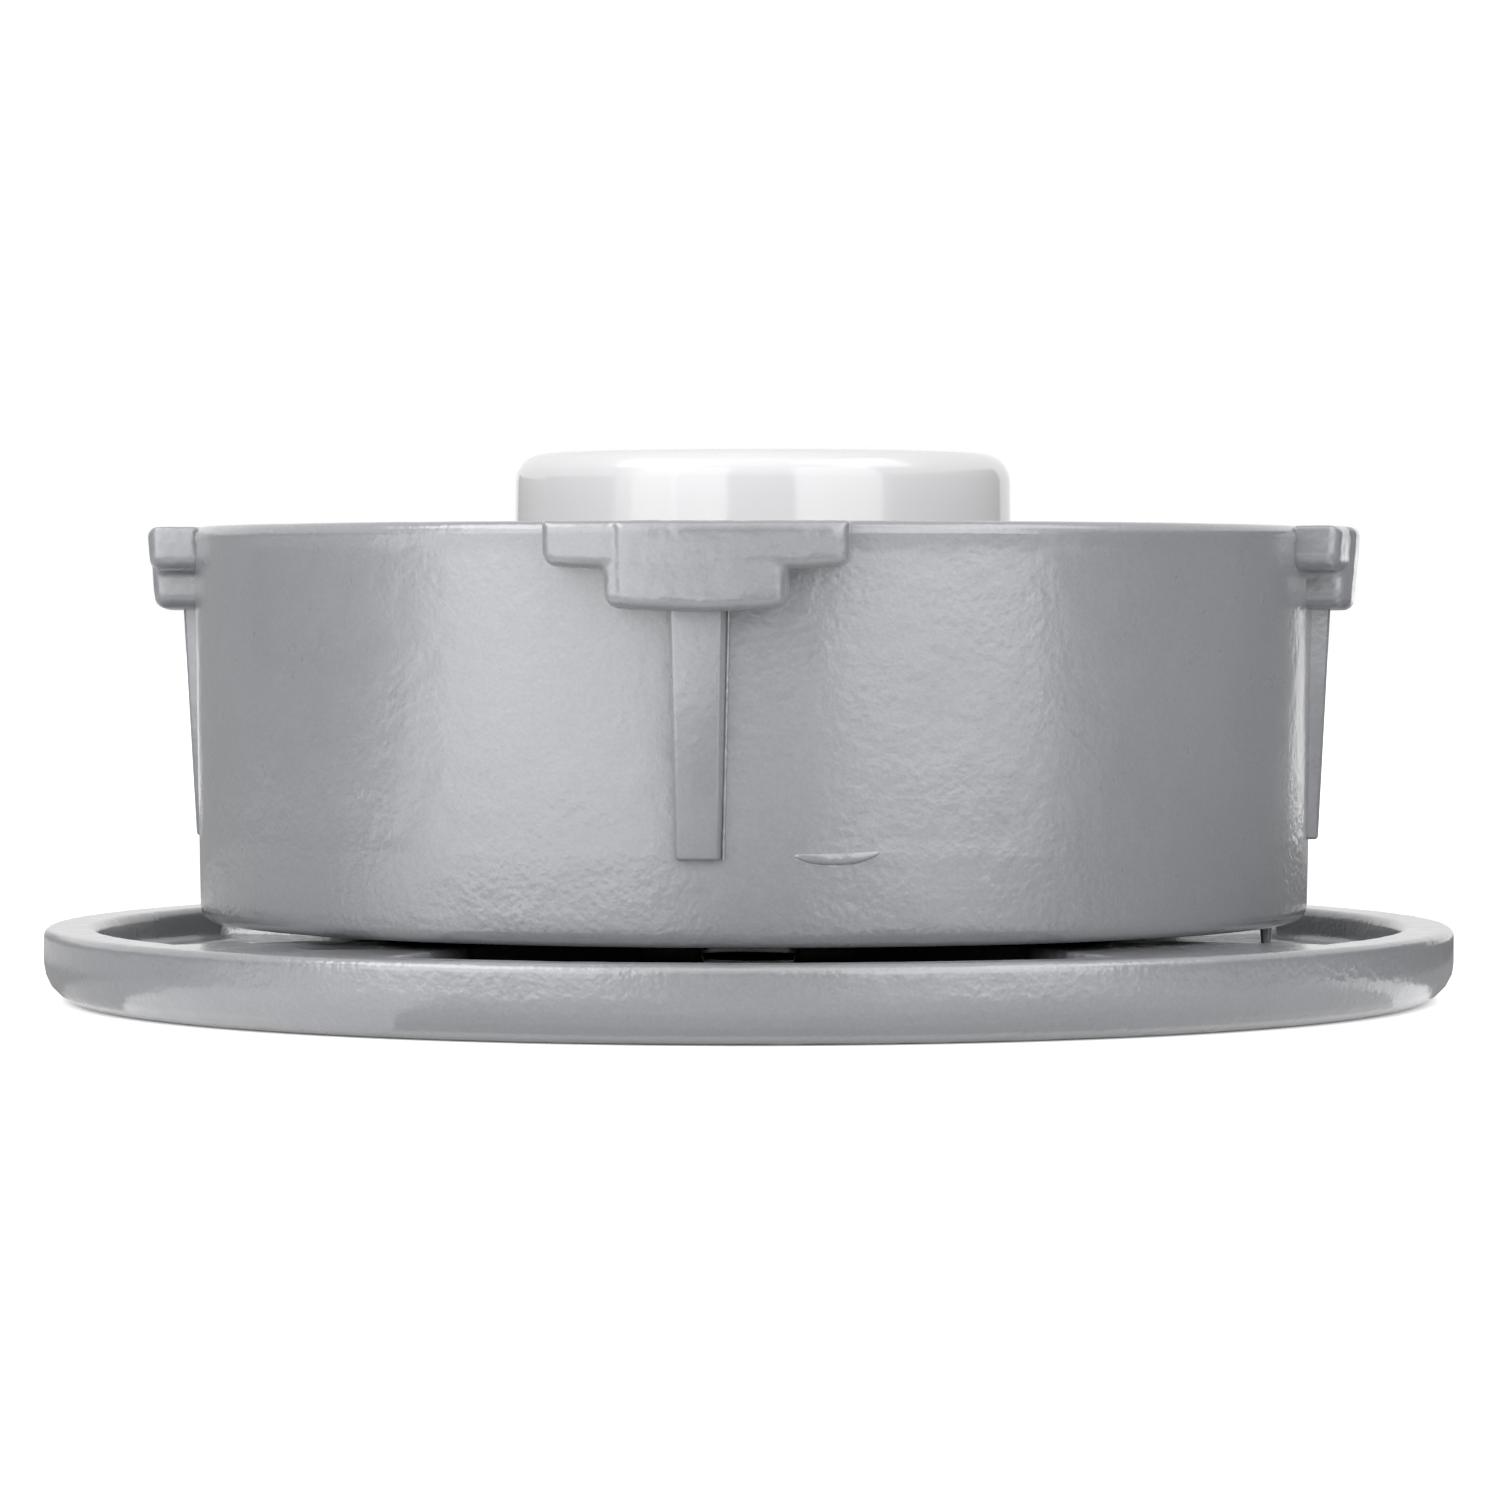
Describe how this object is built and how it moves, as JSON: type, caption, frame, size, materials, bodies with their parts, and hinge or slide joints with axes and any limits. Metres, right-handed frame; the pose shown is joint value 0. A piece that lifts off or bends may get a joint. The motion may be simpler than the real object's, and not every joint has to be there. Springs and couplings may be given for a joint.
{
  "type": "floor drain grate",
  "caption": "Round cast floor drain grate lying face down, with a lugged trap housing, dip tube and white pull-off trap cup on its underside.",
  "frame": {"origin": "centre of the grate's walking face, which lies on the bench", "axes": "+Z from the walking face up through the housing's mouth; -Y is the side that faces the viewer, with one lug nearly on it"},
  "size_m": [0.14, 0.14, 0.0541],
  "materials": {
    "grey_paint": "satin",
    "white_plastic": "gloss",
    "guide_plastic": "satin",
    "brass": "satin",
    "rubber": "matte",
    "fibre": "matte",
    "stainless_steel": "satin"
  },
  "bodies": {
    "grate_assembly": {"grate_plate": "grey_paint", "trap_housing": "grey_paint", "dip_tube": "brass", "tube_gasket": "rubber", "tube_slip_washer": "fibre", "tube_lock_nut": "brass", "cup_spider": "guide_plastic", "deck_screw_1": "stainless_steel", "deck_screw_2": "stainless_steel", "deck_screw_3": "stainless_steel", "deck_screw_4": "stainless_steel", "flat_washer_1": "stainless_steel", "flat_washer_2": "stainless_steel", "flat_washer_3": "stainless_steel", "flat_washer_4": "stainless_steel", "spring_washer_1": "stainless_steel", "spring_washer_2": "stainless_steel", "spring_washer_3": "stainless_steel", "spring_washer_4": "stainless_steel"},
    "trap_cup": {"trap_cup": "white_plastic"}
  },
  "joints": [
    {"name": "cup_pull", "type": "slide", "parent": "grate_assembly", "child": "trap_cup", "axis": [0, 0, 1], "range_m": [0, 0.03]}
  ]
}
